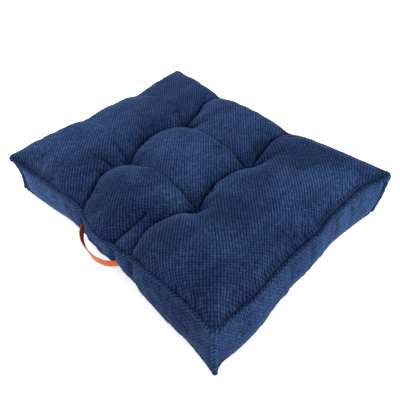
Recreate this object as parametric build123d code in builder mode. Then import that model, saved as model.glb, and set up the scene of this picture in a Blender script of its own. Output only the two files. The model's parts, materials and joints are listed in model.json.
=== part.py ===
"""Tufted box floor cushion with a leather carrying strap on its long front side.

Millimetres. +Z is up, X runs along the strap side, and the strap side faces -Y.
The origin is the middle of the flat underside that the cushion rests on.
"""

import os
from math import cos, radians, sin, sqrt

from build123d import *

# Cover, measured on the seam lines from corner to corner
WIDTH = 692.0
DEPTH = 542.0
SIDE_PULL = 16.0  # how far the middle of each side is drawn in from its corners
FABRIC = 2.0
BOTTOM_SEAM_Z = 12.0
TOP_SEAM_Z = 112.0
CROWN_Z = 142.0

# Crown of each face: it flattens out at an inset from the seam, past a rounded shoulder
TOP_FLAT_INSET = 85.0
BOTTOM_FLAT_INSET = 40.0
SHOULDER_INSET = 0.26  # share of that inset
SHOULDER_RISE = 0.62  # share of the crown's height that is reached there

# Rolled seam edges, and the thread along their crests
RIDGE = 8.0
CORNER_NEAR = -7.0
CORNER_FAR = 4.0
THREAD = 1.6
THREAD_INNER = 1.0
MITRE = 60.0
DIAGONAL = 45.0

# Tufts: a twine pulls both faces into funnels, each a little off its regular place
TUFTS = {
    "front_left": (-127.0, -83.0),
    "front_right": (103.0, -74.0),
    "back_right": (93.0, 104.0),
    "back_left": (-140.0, 110.0),
}
TUFT_TOP_Z = 96.0
TUFT_BOTTOM_Z = 34.0
FUNNEL_SEAT_RADIUS = 6.0
TOP_FUNNEL_RADIUS = 62.0
BOTTOM_FUNNEL_RADIUS = 45.0
FUNNEL_THROAT = 0.25  # the funnel's curve bends at this share of its radius
FUNNEL_LIP = 0.9  # and at this share of its depth
FUNNEL_OVERRUN = 6.0
TWINE_RADIUS = 1.0
TWINE_HOLE_RADIUS = 1.4
STITCH_LENGTH = 9.0
KNOT_RADIUS = 3.0
KNOT_HEIGHT = 4.0
KNOT_FILLET = 1.5

# Stuffing, a slab that leaves the corner ears slack
FILLING_CLEARANCE = 0.6
FILLING_SIDE_INSET = 24.0
FILLING_CORNER_RADIUS = 60.0

# Carrying strap: a bowed leather strip whose two ends are sewn through the front boxing
STRAP_X = -16.0
STRAP_Z = 50.0
STRAP_WIDTH = 20.0
STRAP_THICKNESS = 2.4
STRAP_SPAN = 143.0
STRAP_BOW = 34.0
STRAP_DROOP = 25.0
STRAP_TAIL = 16.0  # how far each sewn end runs on behind the boxing
SWING_OUT = 6.0  # the line that the strap swings about stands this far out from the boxing
SWING_GAP = 0.5
END_RADIUS = 12.5  # the sewn ends stop at this distance from that line
SLIT_CLEARANCE = 0.4
TACK_LENGTH = 8.0
TACK_RADIUS = 0.6
TACK_CLEARANCE = 0.1
TACK_PITCH = 5.0
TACKS = 3

HALF_X = WIDTH / 2
HALF_Y = DEPTH / 2
BOTTOM_RIM_Z = BOTTOM_SEAM_Z - RIDGE / 2
TOP_RIM_Z = TOP_SEAM_Z + RIDGE / 2
BOXING_BASE_Z = BOTTOM_SEAM_Z + RIDGE / 2
BOXING_HEIGHT = TOP_SEAM_Z - BOTTOM_SEAM_Z - RIDGE
CORNERS = {
    "front_left": (-1, -1),
    "front_right": (1, -1),
    "back_right": (1, 1),
    "back_left": (-1, 1),
}


def write(piece, name):
    """Label a finished piece and write its STEP file."""
    piece.part.label = name
    export_step(piece.part, f"parts/{name}.step")


def plan(inset=0.0):
    """The cover's plan: four arcs, drawn in between the corners, moved in by inset."""
    x = HALF_X - inset
    y = HALF_Y - inset
    with BuildSketch() as face:
        with BuildLine():
            ThreePointArc((-x, -y), (0, SIDE_PULL - y), (x, -y))
            ThreePointArc((x, -y), (x - SIDE_PULL, 0), (x, y))
            ThreePointArc((x, y), (0, y - SIDE_PULL), (-x, y))
            ThreePointArc((-x, y), (SIDE_PULL - x, 0), (-x, -y))
        make_face()
    return face.sketch


def plan_at(height, inset=0.0):
    """The cover's plan at a height."""
    with BuildSketch(Plane.XY.offset(height)) as face:
        add(plan(inset))
    return face.sketch


def crown(rim_z, flat_z, flat_inset, skin=0.0):
    """A crowned face of the cushion, from its rim to its flat middle, sunk by skin."""
    sunk = skin if flat_z > rim_z else -skin
    shoulder_z = rim_z + (flat_z - rim_z) * SHOULDER_RISE - sunk
    shoulder_inset = flat_inset * SHOULDER_INSET
    with BuildPart() as solid:
        loft(
            sections=[
                plan_at(rim_z, skin),
                plan_at(shoulder_z, shoulder_inset + skin),
                plan_at(flat_z - sunk, flat_inset + skin),
            ]
        )
    return solid.part


def funnel(seat_z, mouth_z, mouth_radius, skin=0.0):
    """The hollow that a tuft pulls into a face, grown by skin, centred on the Z axis."""
    up = 1 if mouth_z > seat_z else -1
    seat = seat_z - up * skin
    throat = (mouth_radius * FUNNEL_THROAT + skin, seat + (mouth_z - seat) * FUNNEL_LIP)
    beyond = mouth_z + up * FUNNEL_OVERRUN
    with BuildPart() as solid:
        with BuildSketch(Plane.XZ):
            with BuildLine():
                Line((0, seat), (FUNNEL_SEAT_RADIUS + skin, seat))
                Bezier(
                    (FUNNEL_SEAT_RADIUS + skin, seat), throat, (mouth_radius + skin, mouth_z)
                )
                Line((mouth_radius + skin, mouth_z), (mouth_radius + skin, beyond))
                Line((mouth_radius + skin, beyond), (0, beyond))
                Line((0, beyond), (0, seat))
            make_face()
        revolve(axis=Axis.Z)
    return solid.part


def at_tufts(solid):
    """Copies of a solid at the four tufts."""
    return [Pos(x, y, 0) * solid for x, y in TUFTS.values()]


def twine_holes(radius):
    """Upright holes for the twines, through the whole cushion."""
    with BuildPart() as holes:
        with BuildSketch():
            with Locations(*TUFTS.values()):
                Circle(radius)
        extrude(amount=CROWN_Z)
    return holes.part


def face_panel(rim_z, flat_z, flat_inset, seat_z, mouth_radius):
    """A crowned fabric panel whose four funnels run in to the tuft seats."""
    outside = crown(rim_z, flat_z, flat_inset)
    inside = crown(rim_z, flat_z, flat_inset, FABRIC)
    linings = at_tufts(funnel(seat_z, flat_z, mouth_radius, FABRIC))
    hollows = at_tufts(funnel(seat_z, flat_z, mouth_radius))
    holes = twine_holes(TWINE_HOLE_RADIUS)
    up = 1 if flat_z > rim_z else -1
    with BuildPart() as beyond:
        with BuildSketch(Plane.XY.offset(flat_z)):
            Rectangle(WIDTH, DEPTH)
        extrude(amount=up * 2 * FUNNEL_OVERRUN)
    with BuildPart() as panel:
        add(outside)
        add(inside, mode=Mode.SUBTRACT)
        add(linings)
        add(hollows, mode=Mode.SUBTRACT)
        add(beyond.part, mode=Mode.SUBTRACT)
        add(holes, mode=Mode.SUBTRACT)
    return panel


def seam_ring(low_z, height, outer_inset, inner_inset):
    """A closed ring that follows the cover's plan."""
    with BuildPart() as ring:
        with BuildSketch(Plane.XY.offset(low_z)):
            add(plan(outer_inset))
            add(plan(inner_inset), mode=Mode.SUBTRACT)
        extrude(amount=height)
    return ring


def corner_plan(side_x, side_y, near, far, breadth):
    """The plan of an upright bar that lies along a corner's outward diagonal, from near to far."""
    middle = (near + far) / 2 / sqrt(2)
    with BuildSketch() as face:
        with Locations((side_x * (HALF_X + middle), side_y * (HALF_Y + middle))):
            Rectangle(far - near, breadth, rotation=DIAGONAL * side_x * side_y)
    return face.sketch


def corner_bar(side_x, side_y, near, far, breadth):
    """An upright bar between the two seam rings at a corner."""
    with BuildPart() as bar:
        with BuildSketch(Plane.XY.offset(BOXING_BASE_Z)):
            add(corner_plan(side_x, side_y, near, far, breadth))
        extrude(amount=BOXING_HEIGHT)
    return bar


def boxing(*corners):
    """The side panel between two neighbouring corners, mitred to meet the next ones."""
    outer = [(sx * (HALF_X + RIDGE), sy * (HALF_Y + RIDGE)) for sx, sy in corners]
    inner = [(x - MITRE * sx, y - MITRE * sy) for (x, y), (sx, sy) in zip(outer, corners)]
    bars = [corner_plan(sx, sy, CORNER_NEAR, CORNER_FAR, RIDGE) for sx, sy in corners]
    with BuildPart() as panel:
        with BuildSketch(Plane.XY.offset(BOXING_BASE_Z)):
            add(plan())
            add(plan(FABRIC), mode=Mode.SUBTRACT)
            with BuildLine():
                Polyline(outer[0], outer[1], inner[1], inner[0], close=True)
            make_face(mode=Mode.INTERSECT)
            add(bars, mode=Mode.SUBTRACT)
        extrude(amount=BOXING_HEIGHT)
    return panel


def front_y(x):
    """Y of the front boxing's outer face at an X, from the arc of the front side."""
    radius = (HALF_X**2 + SIDE_PULL**2) / (2 * SIDE_PULL)
    return -HALF_Y + SIDE_PULL - radius + sqrt(radius**2 - x**2)


def strap_band(start, end, growth=0.0):
    """The bowed strip between two distances out from its swing line, grown all round by growth."""
    half_thickness = STRAP_THICKNESS / 2 + growth
    with BuildPart() as band:
        with BuildSketch(STRAP_PLANE):
            with Locations((0, BOW_CENTRE)):
                Circle(BOW_RADIUS + half_thickness)
                Circle(BOW_RADIUS - half_thickness, mode=Mode.SUBTRACT)
            with Locations((0, (start + end) / 2)):
                Rectangle(2 * STRAP_SPAN, end - start, mode=Mode.INTERSECT)
        extrude(amount=STRAP_WIDTH / 2 + growth, both=True)
    return band.part


def swing_cylinder(radius):
    """A cylinder about the line that the strap swings about."""
    with BuildPart() as cylinder:
        with BuildSketch(Plane.YZ.offset(STRAP_X)):
            with Locations((SWING_Y, STRAP_Z)):
                Circle(radius)
        extrude(amount=STRAP_SPAN, both=True)
    return cylinder.part


def tack_bars(side, radius):
    """The stitches that hold one sewn end, in a row across the strip."""
    out = -(SWING_OUT / cos(DROOP) + STRAP_TAIL / 2)
    along = side * sqrt(BOW_RADIUS**2 - (out - BOW_CENTRE) ** 2)
    across = STRAP_PLANE.from_local_coords((along, out - BOW_CENTRE, 0))
    centre = STRAP_PLANE.from_local_coords((0, 0, 0))
    row = Plane(
        origin=STRAP_PLANE.from_local_coords((along, out, 0)),
        x_dir=STRAP_PLANE.z_dir,
        z_dir=across - centre,
    )
    with BuildPart() as bars:
        with BuildSketch(row):
            with GridLocations(TACK_PITCH, 0, TACKS, 1):
                Circle(radius)
        extrude(amount=TACK_LENGTH / 2, both=True)
    return bars


# Derived places of the strap
DROOP = radians(STRAP_DROOP)
BOXING_Y = front_y(STRAP_SPAN / 2)
SWING_Y = BOXING_Y - SWING_OUT
BOW_RADIUS = ((STRAP_SPAN / 2) ** 2 + STRAP_BOW**2) / (2 * STRAP_BOW)
BOW_CENTRE = STRAP_BOW - SWING_OUT / cos(DROOP) - BOW_RADIUS
TAIL_START = -SWING_OUT / cos(DROOP) - STRAP_TAIL
STRAP_PLANE = Plane(
    origin=(STRAP_X, SWING_Y, STRAP_Z),
    x_dir=(-1, 0, 0),
    z_dir=(0, -sin(DROOP), cos(DROOP)),
)

os.makedirs("parts", exist_ok=True)

# --- Fabric cover -------------------------------------------------------------

top_panel = face_panel(TOP_RIM_Z, CROWN_Z, TOP_FLAT_INSET, TUFT_TOP_Z, TOP_FUNNEL_RADIUS)
write(top_panel, "top_panel")

bottom_panel = face_panel(
    BOTTOM_RIM_Z, 0.0, BOTTOM_FLAT_INSET, TUFT_BOTTOM_Z, BOTTOM_FUNNEL_RADIUS
)
write(bottom_panel, "bottom_panel")

boxing_back = boxing(CORNERS["back_left"], CORNERS["back_right"])
write(boxing_back, "boxing_back")

boxing_left = boxing(CORNERS["front_left"], CORNERS["back_left"])
write(boxing_left, "boxing_left")

boxing_right = boxing(CORNERS["front_right"], CORNERS["back_right"])
write(boxing_right, "boxing_right")

# The front panel has the two slits that the strap's ends are sewn into
boxing_front_plain = boxing(CORNERS["front_left"], CORNERS["front_right"])
slits = strap_band(TAIL_START, STRAP_BOW, SLIT_CLEARANCE)
with BuildPart() as boxing_front:
    add(boxing_front_plain.part)
    add(slits, mode=Mode.SUBTRACT)
write(boxing_front, "boxing_front")

# --- Rolled seams and their overcast thread -------------------------------------

top_seam_ridge = seam_ring(TOP_SEAM_Z - RIDGE / 2, RIDGE, -RIDGE / 2, RIDGE / 2)
write(top_seam_ridge, "top_seam_ridge")

bottom_seam_ridge = seam_ring(BOTTOM_SEAM_Z - RIDGE / 2, RIDGE, -RIDGE / 2, RIDGE / 2)
write(bottom_seam_ridge, "bottom_seam_ridge")

top_seam_thread = seam_ring(TOP_RIM_Z, THREAD, -THREAD_INNER - THREAD, -THREAD_INNER)
write(top_seam_thread, "top_seam_thread")

bottom_seam_thread = seam_ring(
    BOTTOM_RIM_Z - THREAD, THREAD, -THREAD_INNER - THREAD, -THREAD_INNER
)
write(bottom_seam_thread, "bottom_seam_thread")

for corner, (side_x, side_y) in CORNERS.items():
    corner_ridge = corner_bar(side_x, side_y, CORNER_NEAR, CORNER_FAR, RIDGE)
    write(corner_ridge, f"corner_ridge_{corner}")
    corner_thread = corner_bar(side_x, side_y, CORNER_FAR, CORNER_FAR + THREAD, THREAD)
    write(corner_thread, f"corner_thread_{corner}")

# --- Stuffing -------------------------------------------------------------------

slack = FABRIC + FILLING_CLEARANCE
upper_crown = crown(TOP_RIM_Z, CROWN_Z, TOP_FLAT_INSET, slack)
lower_crown = crown(BOTTOM_RIM_Z, 0.0, BOTTOM_FLAT_INSET, slack)
top_hollows = at_tufts(funnel(TUFT_TOP_Z, CROWN_Z, TOP_FUNNEL_RADIUS, slack))
bottom_hollows = at_tufts(funnel(TUFT_BOTTOM_Z, 0.0, BOTTOM_FUNNEL_RADIUS, slack))
twine_ways = twine_holes(TWINE_HOLE_RADIUS)
strap_pockets = strap_band(TAIL_START - FILLING_CLEARANCE, 0.0, TACK_LENGTH / 2)
with BuildPart() as fibre_filling:
    with BuildSketch(Plane.XY.offset(BOTTOM_RIM_Z)):
        add(plan(slack))
    extrude(amount=TOP_RIM_Z - BOTTOM_RIM_Z)
    add(upper_crown)
    add(lower_crown)
    with BuildSketch(Plane.XY):
        RectangleRounded(
            WIDTH - 2 * FILLING_SIDE_INSET, DEPTH - 2 * FILLING_SIDE_INSET, FILLING_CORNER_RADIUS
        )
    extrude(amount=CROWN_Z, mode=Mode.INTERSECT)
    add(top_hollows, mode=Mode.SUBTRACT)
    add(bottom_hollows, mode=Mode.SUBTRACT)
    add(twine_ways, mode=Mode.SUBTRACT)
    add(strap_pockets, mode=Mode.SUBTRACT)
write(fibre_filling, "fibre_filling")

# --- Tufts: a twine through the cushion, a stitch across the top seat, a knot below --

for corner, place in TUFTS.items():
    with BuildPart() as tuft_twine:
        with BuildSketch(Plane.XY.offset(TUFT_BOTTOM_Z)):
            with Locations(place):
                Circle(TWINE_RADIUS)
        extrude(amount=TUFT_TOP_Z - TUFT_BOTTOM_Z)
        with BuildSketch(Plane.XY.offset(TUFT_TOP_Z)):
            with Locations(place):
                SlotOverall(STITCH_LENGTH, 2 * TWINE_RADIUS, rotation=DIAGONAL)
        extrude(amount=2 * TWINE_RADIUS)
        with BuildSketch(Plane.XY.offset(TUFT_BOTTOM_Z)):
            with Locations(place):
                Circle(KNOT_RADIUS)
        extrude(amount=-KNOT_HEIGHT)
        knot_edge = tuft_twine.edges().filter_by(GeomType.CIRCLE).sort_by(Axis.Z)[0]
        fillet(knot_edge, KNOT_FILLET)
    write(tuft_twine, f"tuft_twine_{corner}")

# --- Carrying strap ---------------------------------------------------------------

outer_band = strap_band(0.0, STRAP_BOW)
inner_band = strap_band(TAIL_START, 0.0)
swept_by_bow = swing_cylinder(END_RADIUS + SWING_GAP)
held_by_ends = swing_cylinder(END_RADIUS)

with BuildPart() as handle_strap:
    add(outer_band)
    add(swept_by_bow, mode=Mode.SUBTRACT)
write(handle_strap, "handle_strap")

with BuildPart() as both_ends:
    add(outer_band)
    add(held_by_ends, mode=Mode.INTERSECT)
    add(inner_band)
for name, strap_end_solid in zip(("left", "right"), both_ends.solids().sort_by(Axis.X)):
    side = -1 if name == "right" else 1
    tack_ways = tack_bars(side, TACK_RADIUS + TACK_CLEARANCE)
    with BuildPart() as strap_end:
        add(strap_end_solid)
        add(tack_ways.part, mode=Mode.SUBTRACT)
    write(strap_end, f"strap_end_{name}")
    strap_tack = tack_bars(side, TACK_RADIUS)
    write(strap_tack, f"strap_tack_{name}")
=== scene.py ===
"""The looks of a tufted box floor cushion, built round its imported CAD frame. Metres, +Z up."""

import json
import math

import bpy
import numpy as np
from mathutils import Matrix, Vector


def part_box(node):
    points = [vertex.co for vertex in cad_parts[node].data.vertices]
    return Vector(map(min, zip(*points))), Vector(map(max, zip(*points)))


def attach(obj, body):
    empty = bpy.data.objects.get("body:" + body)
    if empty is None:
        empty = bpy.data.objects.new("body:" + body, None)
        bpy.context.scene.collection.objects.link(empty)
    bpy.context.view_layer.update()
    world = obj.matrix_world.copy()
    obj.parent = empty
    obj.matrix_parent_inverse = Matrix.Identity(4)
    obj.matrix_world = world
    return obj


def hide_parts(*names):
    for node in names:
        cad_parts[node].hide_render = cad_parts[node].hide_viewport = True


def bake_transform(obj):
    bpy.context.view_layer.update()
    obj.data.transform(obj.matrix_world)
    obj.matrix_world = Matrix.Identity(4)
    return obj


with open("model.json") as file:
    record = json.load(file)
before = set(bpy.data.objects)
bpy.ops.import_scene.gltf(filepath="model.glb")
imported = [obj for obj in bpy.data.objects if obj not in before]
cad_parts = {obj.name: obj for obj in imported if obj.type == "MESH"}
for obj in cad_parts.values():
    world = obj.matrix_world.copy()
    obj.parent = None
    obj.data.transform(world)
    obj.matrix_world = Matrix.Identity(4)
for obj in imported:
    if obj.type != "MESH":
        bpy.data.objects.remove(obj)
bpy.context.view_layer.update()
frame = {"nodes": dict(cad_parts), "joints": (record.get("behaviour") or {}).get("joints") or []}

MM = 0.001
TAU = 2 * math.pi

# --- Shape: the cushion as it lies ---
# Fabric grid: one cell is half the spacing of the fabric's rows of pits
CELLS_X = 320
CELLS_Y = 256
CELLS_UP = 46
PIT_DEPTH = 0.6 * MM
COLUMN_WEIGHT = 0.70  # the pits join into columns more than into rows

# The cushion's sides: first corner, last corner, the axis that runs along, the way out
SIDES = {
    "front": ("front_left", "front_right", 0, -1),
    "right": ("front_right", "back_right", 1, 1),
    "back": ("back_left", "back_right", 0, 1),
    "left": ("front_left", "back_left", 1, -1),
}


def middle(node):
    """The middle of a CAD node's box."""
    low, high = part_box(node)
    return np.array((low + high) / 2)


# How far each corner of a seam has gone from its CAD place: along X and Y outward, and up, in mm
CORNER_SHIFT = {
    "top": {
        "front_left": (8, 4, 3),
        "front_right": (-6, -5, 10),
        "back_right": (4, 15, 9),
        "back_left": (10, 13, 10),
    },
    "bottom": {
        "front_left": (6, 1, 4),
        "front_right": (6, 7, -2),
        "back_right": (-4, 3, 2),
        "back_left": (1, 1, -2),
    },
}

CORNERS = tuple(CORNER_SHIFT["top"])

# How each seam runs between its corners, in mm: along the side, outward and up from the CAD corners' line
SEAM_RUN = {
    "top": {
        "front": [
            (-285, -10, -14), (-182, -14, -4), (-90, -18, 0), (-55, -13, -11), (0, -5, -12),
            (60, -10, -12), (90, -13, -12), (125, -16, -6), (170, -15, 0), (290, -14, 2),
        ],
        "right": [
            (-220, -12, -2), (-150, -9, -3), (-86, -15, -2), (-20, -16, -2), (40, -15, -3),
            (84, -19, 2), (145, -20, 2), (225, -18, 3), (262, -6, 2),
        ],
        "back": [
            (-256, 11, 3), (-190, 8, -2), (-171, 3, -7), (-150, 6, -4), (-48, 8, 1),
            (40, 6, -2), (77, 0, -7), (110, 7, -3), (197, 14, 2), (280, 17, 4),
        ],
        "left": [(-167, 9, 3), (-61, 7, -1), (35, 8, 2), (114, 5, -4), (171, 7, 1), (229, 8, 6)],
    },
    "bottom": {
        "front": [
            (-319, -3, 1), (-263, -9, 0), (-217, -14, 1), (-159, -22, 2), (-110, -24, 2),
            (-60, -20, -2), (0, -21, -2), (50, -23, -2), (111, -16, -1), (170, -7, -2), (276, -3, -2),
        ],
        "right": [
            (-258, -2, -2), (-218, 2, -2), (-175, 3, -2), (-121, -5, -2), (-38, -12, -1), (26, -13, 0),
            (117, -19, 0), (200, -14, -2),
        ],
        "back": [(-240, -12, -2), (-172, -19, 1), (-60, -14, -2), (77, -19, 1), (200, -11, -2)],
        "left": [(-170, -14, -1), (-60, -19, 1), (30, -16, -2), (114, -19, 1), (200, -12, -2)],
    },
}

# Creases in the top, each an arc: its two ends, how far it bows to the left of its way at a third
# and at two thirds of it (mm), and its firmness at four even places. An end is a tuft, a place
# along a side's seam (mm), or a point off a tuft (mm).
CREASES = [
    ("front_left", "back_left", (24, 30), (1, 1, 1, 1)),
    ("back_left", ("back_left", 62, 12), (9, 9), (1, 0.8, 0.5, 0)),
    ("back_left", ("back", -174), (-2, 9), (0.9, 1, 1, 1)),
    ("front_left", ("front", -72), (-30, -16), (1, 1, 1, 1)),
    (("front_left", -20, -36), ("front_left", -58, -57), (0, 0), (0.7, 0.6, 0.3, 0)),
    ("front_left", "front_right", (6, 4), (0.8, 0.34, 0.32, 0.8)),
    (("front_right", -57, -64), ("front", 48), (-5, -3), (0, 0.8, 1, 1)),
    ("front_right", ("front", 103), (-22, -27), (1, 1, 1, 0.8)),
    (("front_right", 8, -18), ("front_right", 16, -38), (0, 0), (0.8, 0.5, 0.2, 0)),
    ("front_right", "back_right", (16, 15), (1, 1, 1, 1)),
    ("back_right", ("back_right", 62, 46), (-4, -4), (0.9, 0.4, 0.2, 0)),
    ("back_left", "back_right", (-4, -4), (0.7, 0.36, 0.36, 0.7)),
    ("back_right", ("back", 77), (2, 7), (1, 1, 1, 1)),
    ("back_right", ("back_right", -43, 82), (3, 3), (0.7, 0.6, 0.5, 0)),
    ("back_right", ("back_right", 43, 68), (0, 0), (0.7, 0.55, 0.4, 0)),
    ("back_left", ("back_left", -61, 22), (0, 0), (0.7, 0.6, 0.4, 0)),
    ("front_left", ("front_left", -105, 14), (0, 0), (0.7, 0.5, 0.3, 0)),
    (("left", 114), ("back_left", -150, 4), (0, 0), (0.7, 0.5, 0.3, 0)),
    (("left", -61), ("front_left", -165, 22), (0, 0), (0.7, 0.5, 0.3, 0)),
]
CREASE_RADIUS = 3.0 * MM
# Each tuft's pit, and the wider funnel that leads down to it: depth and radius in mm, the funnel's
# radius in mm, and how much of the swell it takes away
TUFT_PIT = {
    "front_left": (6, 8, 18, 0.5),
    "front_right": (12, 10, 30, 0.75),
    "back_right": (9, 9, 22, 0.6),
    "back_left": (8, 8, 18, 0.5),
}
# Where the top lies flatter: x, y, radius (mm), and how much of the swell is gone there
FLATTER = [(210, 265, 120, 0.38), (-90, -235, 45, 0.2)]
TOP_RISE = 0.042
TOP_FULLNESS = 0.42
EASED_FROM = 134 * MM  # above this height the swells are pressed flatter
EASED_SPAN = 19 * MM
BOTTOM_RISE = 0.030
BOTTOM_INSET = 18 * MM  # how far from the edge the underside's creases end
REST_EASING = 2 * MM  # how softly it turns flat where it rests
KNOT_HEIGHT = 4 * MM
CLOTH_STEP = 2  # fabric cells to one cell of the simulated cloth
CLOTH_SLACK = 0.025  # how much longer the cloth is than the shape that it is laid over
CLOTH_CAP = 14 * MM  # the furthest that a point may move
PLUMPNESS = 5.0 * MM  # how far the swells lean out over their creases
# How far the painted shade reaches out from a crease, and from a tuft
FOLD_SHADE_REACH = 3.0 * MM
TUFT_SHADE_REACH = 6 * MM
PINCH = 0.38  # how far a tuft draws the fabric round it in towards itself, as a share of the distance
PINCH_RADIUS = 42  # mm

# Where the top is painted lighter or darker, partly brushed nap and partly painted light and shade: x, y,
# radius (mm) and strength
TOP_NAP_AND_PAINTED_LIGHT = [
    (-40, 0, 60, 0.20), (230, 90, 55, 0.35), (10, 190, 60, 0.15), (-300, -230, 80, 0.35),
    (190, 230, 80, -0.75), (120, 25, 40, -0.20), (165, -60, 50, -0.38), (-40, -195, 60, -0.45),
    (130, -190, 60, -0.22), (-80, 205, 30, -0.15), (-185, -100, 40, -0.15), (-190, 170, 45, -0.12),
    (230, -140, 45, 0.10), (310, -60, 50, -0.10), (90, -120, 25, 0.25), (-140, 160, 20, 0.15),
    (115, 185, 50, -0.80), (56, -95, 28, 0.40), (43, -29, 35, 0.35), (-100, 5, 45, 0.20),
    (-230, -60, 60, 0.12), (270, 175, 60, 0.35), (0, 0, 900, -0.12), (300, -220, 70, -0.15),
    (-310, 230, 90, -0.22), (-266, 111, 60, -0.12),
]
# Painted light and shade on the side panels: x, y, radius (mm) and strength
SIDE_PAINTED_LIGHT_AND_SHADE = [
    (-270, -275, 130, 0.78), (200, -275, 120, -0.20), (350, -170, 90, 0.22), (350, 200, 110, 0.22),
]

# Side panels: how far they bulge, and their upright folds as (place along, depth, width, lean)
BOXING_BULGE = 14 * MM
BOXING_LUMPS = ((46 * MM, 1.6 * MM), (19 * MM, 0.7 * MM))  # how far apart its lumps are, and how high
CORNER_PULL = {"front_left": 6, "front_right": 3, "back_right": -2, "back_left": 3}  # edges drawn in, mm
CORNER_REACH = 50 * MM
BOXING_FOLDS = {
    "front": [(-0.080, 0.012, 0.009, 0.006), (0.046, 0.008, 0.008, -0.006), (0.100, 0.007, 0.009, 0.004)],
    "right": [
        (-0.050, 0.004, 0.007, 0.012), (0.020, 0.004, 0.010, 0.0), (0.110, 0.003, 0.006, 0.010),
        (0.172, 0.004, 0.007, 0.006),
    ],
    "back": [(-0.172, 0.006, 0.009, 0.0), (0.077, 0.006, 0.009, 0.0)],
    "left": [(-0.061, 0.003, 0.010, 0.0), (0.114, 0.003, 0.010, 0.0)],
}

# Rolled edges and their stitches
CORNER_ROLL = 12 * MM
WELT_SIDES = 14
STITCH_PITCH = 5.0 * MM
THREAD_RADIUS = 0.65 * MM
LOOP_SHARE = 0.80  # the size of a thread loop against the rolled edge that it draws in
LOOP_SLANT = 0.8 * MM
RING_SPACING = 1.1 * MM
CORNER_EASING = 150  # passes of smoothing round a ring's corners
CORNER_ROUNDING = 20  # passes of smoothing that round the top seam's front right corner
EAR_REACH = 12 * MM
ROLL_PAINTED_LIGHT = 0.30  # a painted highlight: how much lighter a rolled edge is painted


def run_along(points):
    """How far along its line each point lies."""
    return np.concatenate([[0], np.cumsum(np.linalg.norm(np.diff(points, axis=0), axis=1))])


def through(points, at):
    """A smooth line through points (rows that start with their place on the line), read at places."""
    rows = np.array(points, float)
    x, y = rows[:, 0], rows[:, 1:]
    slope = np.empty_like(y)
    slope[1:-1] = (y[2:] - y[:-2]) / (x[2:] - x[:-2])[:, None]
    slope[0] = (y[1] - y[0]) / (x[1] - x[0])
    slope[-1] = (y[-1] - y[-2]) / (x[-1] - x[-2])
    k = np.clip(np.searchsorted(x, at) - 1, 0, len(x) - 2)
    gap = (x[k + 1] - x[k])[:, None]
    t = (np.asarray(at)[:, None] - x[k][:, None]) / gap
    a = (1 + 2 * t) * (1 - t) ** 2
    b = t * (1 - t) ** 2 * gap
    c = t * t * (3 - 2 * t)
    d = t * t * (t - 1) * gap
    return a * y[k] + b * slope[k] + c * y[k + 1] + d * slope[k + 1]


def seam_corner(level, corner):
    """A corner of a seam: its CAD place and its shift from there."""
    place = middle(f"corner_ridge_{corner}")
    place[2] = middle(f"{level}_seam_ridge")[2]
    across, deep, up = CORNER_SHIFT[level][corner]
    return place + np.array([np.sign(place[0]) * across, np.sign(place[1]) * deep, up]) * MM


def seam_line(side, level, cells):
    """Points of one side's seam, evenly spaced along the side, from its first corner to its last."""
    first, last, axis, sign = SIDES[side]
    ends = [seam_corner(level, corner) for corner in (first, last)]
    line = abs(middle(f"corner_ridge_{first}")[1 - axis])
    height = middle(f"{level}_seam_ridge")[2]
    inner = [(along * MM, line + out * MM, height + up * MM) for along, out, up in SEAM_RUN[level][side]]
    outer = [(end[axis], sign * end[1 - axis], end[2]) for end in ends]
    rows = [outer[0], *inner, outer[1]]
    along = np.linspace(rows[0][0], rows[-1][0], cells + 1)
    rest = through(rows, along)
    points = np.empty((cells + 1, 3))
    points[:, axis] = along
    points[:, 1 - axis] = sign * rest[:, 0]
    points[:, 2] = rest[:, 1]
    return points


def side_cells(side):
    """How many fabric cells a side has along it."""
    return CELLS_X if SIDES[side][2] == 0 else CELLS_Y


def round_corner(line):
    """Round the front right corner, where the front and right seams meet."""
    joined = np.concatenate([line["front"][:-1], line["right"]])
    eased = joined.copy()
    for _ in range(CORNER_ROUNDING):
        eased[1:-1] = eased[1:-1] / 2 + (eased[2:] + eased[:-2]) / 4
    cells_away = np.arange(len(joined)) - CELLS_X
    joined += (eased - joined) * np.exp(-((cells_away / 12) ** 2))[:, None]
    line["front"], line["right"] = joined[: CELLS_X + 1], joined[CELLS_X:]


def line_corner(line, corner):
    """Where the seams have a corner."""
    side = "front" if corner in SIDES["front"] else "back"
    return line[side][0 if corner == SIDES[side][0] else -1]


top_line = {side: seam_line(side, "top", side_cells(side)) for side in SIDES}
round_corner(top_line)
bottom_line = {side: seam_line(side, "bottom", side_cells(side)) for side in SIDES}


def filled_patch(line):
    """A grid of points that fills the four seams round it."""
    a = np.linspace(0, 1, CELLS_X + 1)[:, None, None]
    b = np.linspace(0, 1, CELLS_Y + 1)[None, :, None]
    front, back = line["front"][:, None], line["back"][:, None]
    left, right = line["left"][None], line["right"][None]
    flat = (1 - b) * front + b * back + (1 - a) * left + a * right
    p, q, r, s = front[0, 0], front[-1, 0], back[0, 0], back[-1, 0]
    return flat - ((1 - a) * (1 - b) * p + a * (1 - b) * q + (1 - a) * b * r + a * b * s)


def corner_line(corner, w):
    """Points down the upright edge at a corner, from the top seam (w = 0) to the bottom one (w = 1)."""
    high, low = line_corner(top_line, corner), line_corner(bottom_line, corner)
    inward = -np.sign(high[:2]) * CORNER_PULL[corner] * MM * np.sin(math.pi * w)[:, None]
    return high * (1 - w[:, None]) + low * w[:, None] + np.column_stack([inward, np.zeros(len(w))])


def tuft_seats(level):
    """Where the twines hold a face: the top of each twine, or the top of its knot below."""
    seats = {}
    for corner in CORNERS:
        low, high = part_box(f"tuft_twine_{corner}")
        x, y, _ = middle(f"tuft_twine_{corner}")
        seats[corner] = (x, y, high[2] if level == "top" else low[2] + KNOT_HEIGHT)
    return seats


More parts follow.
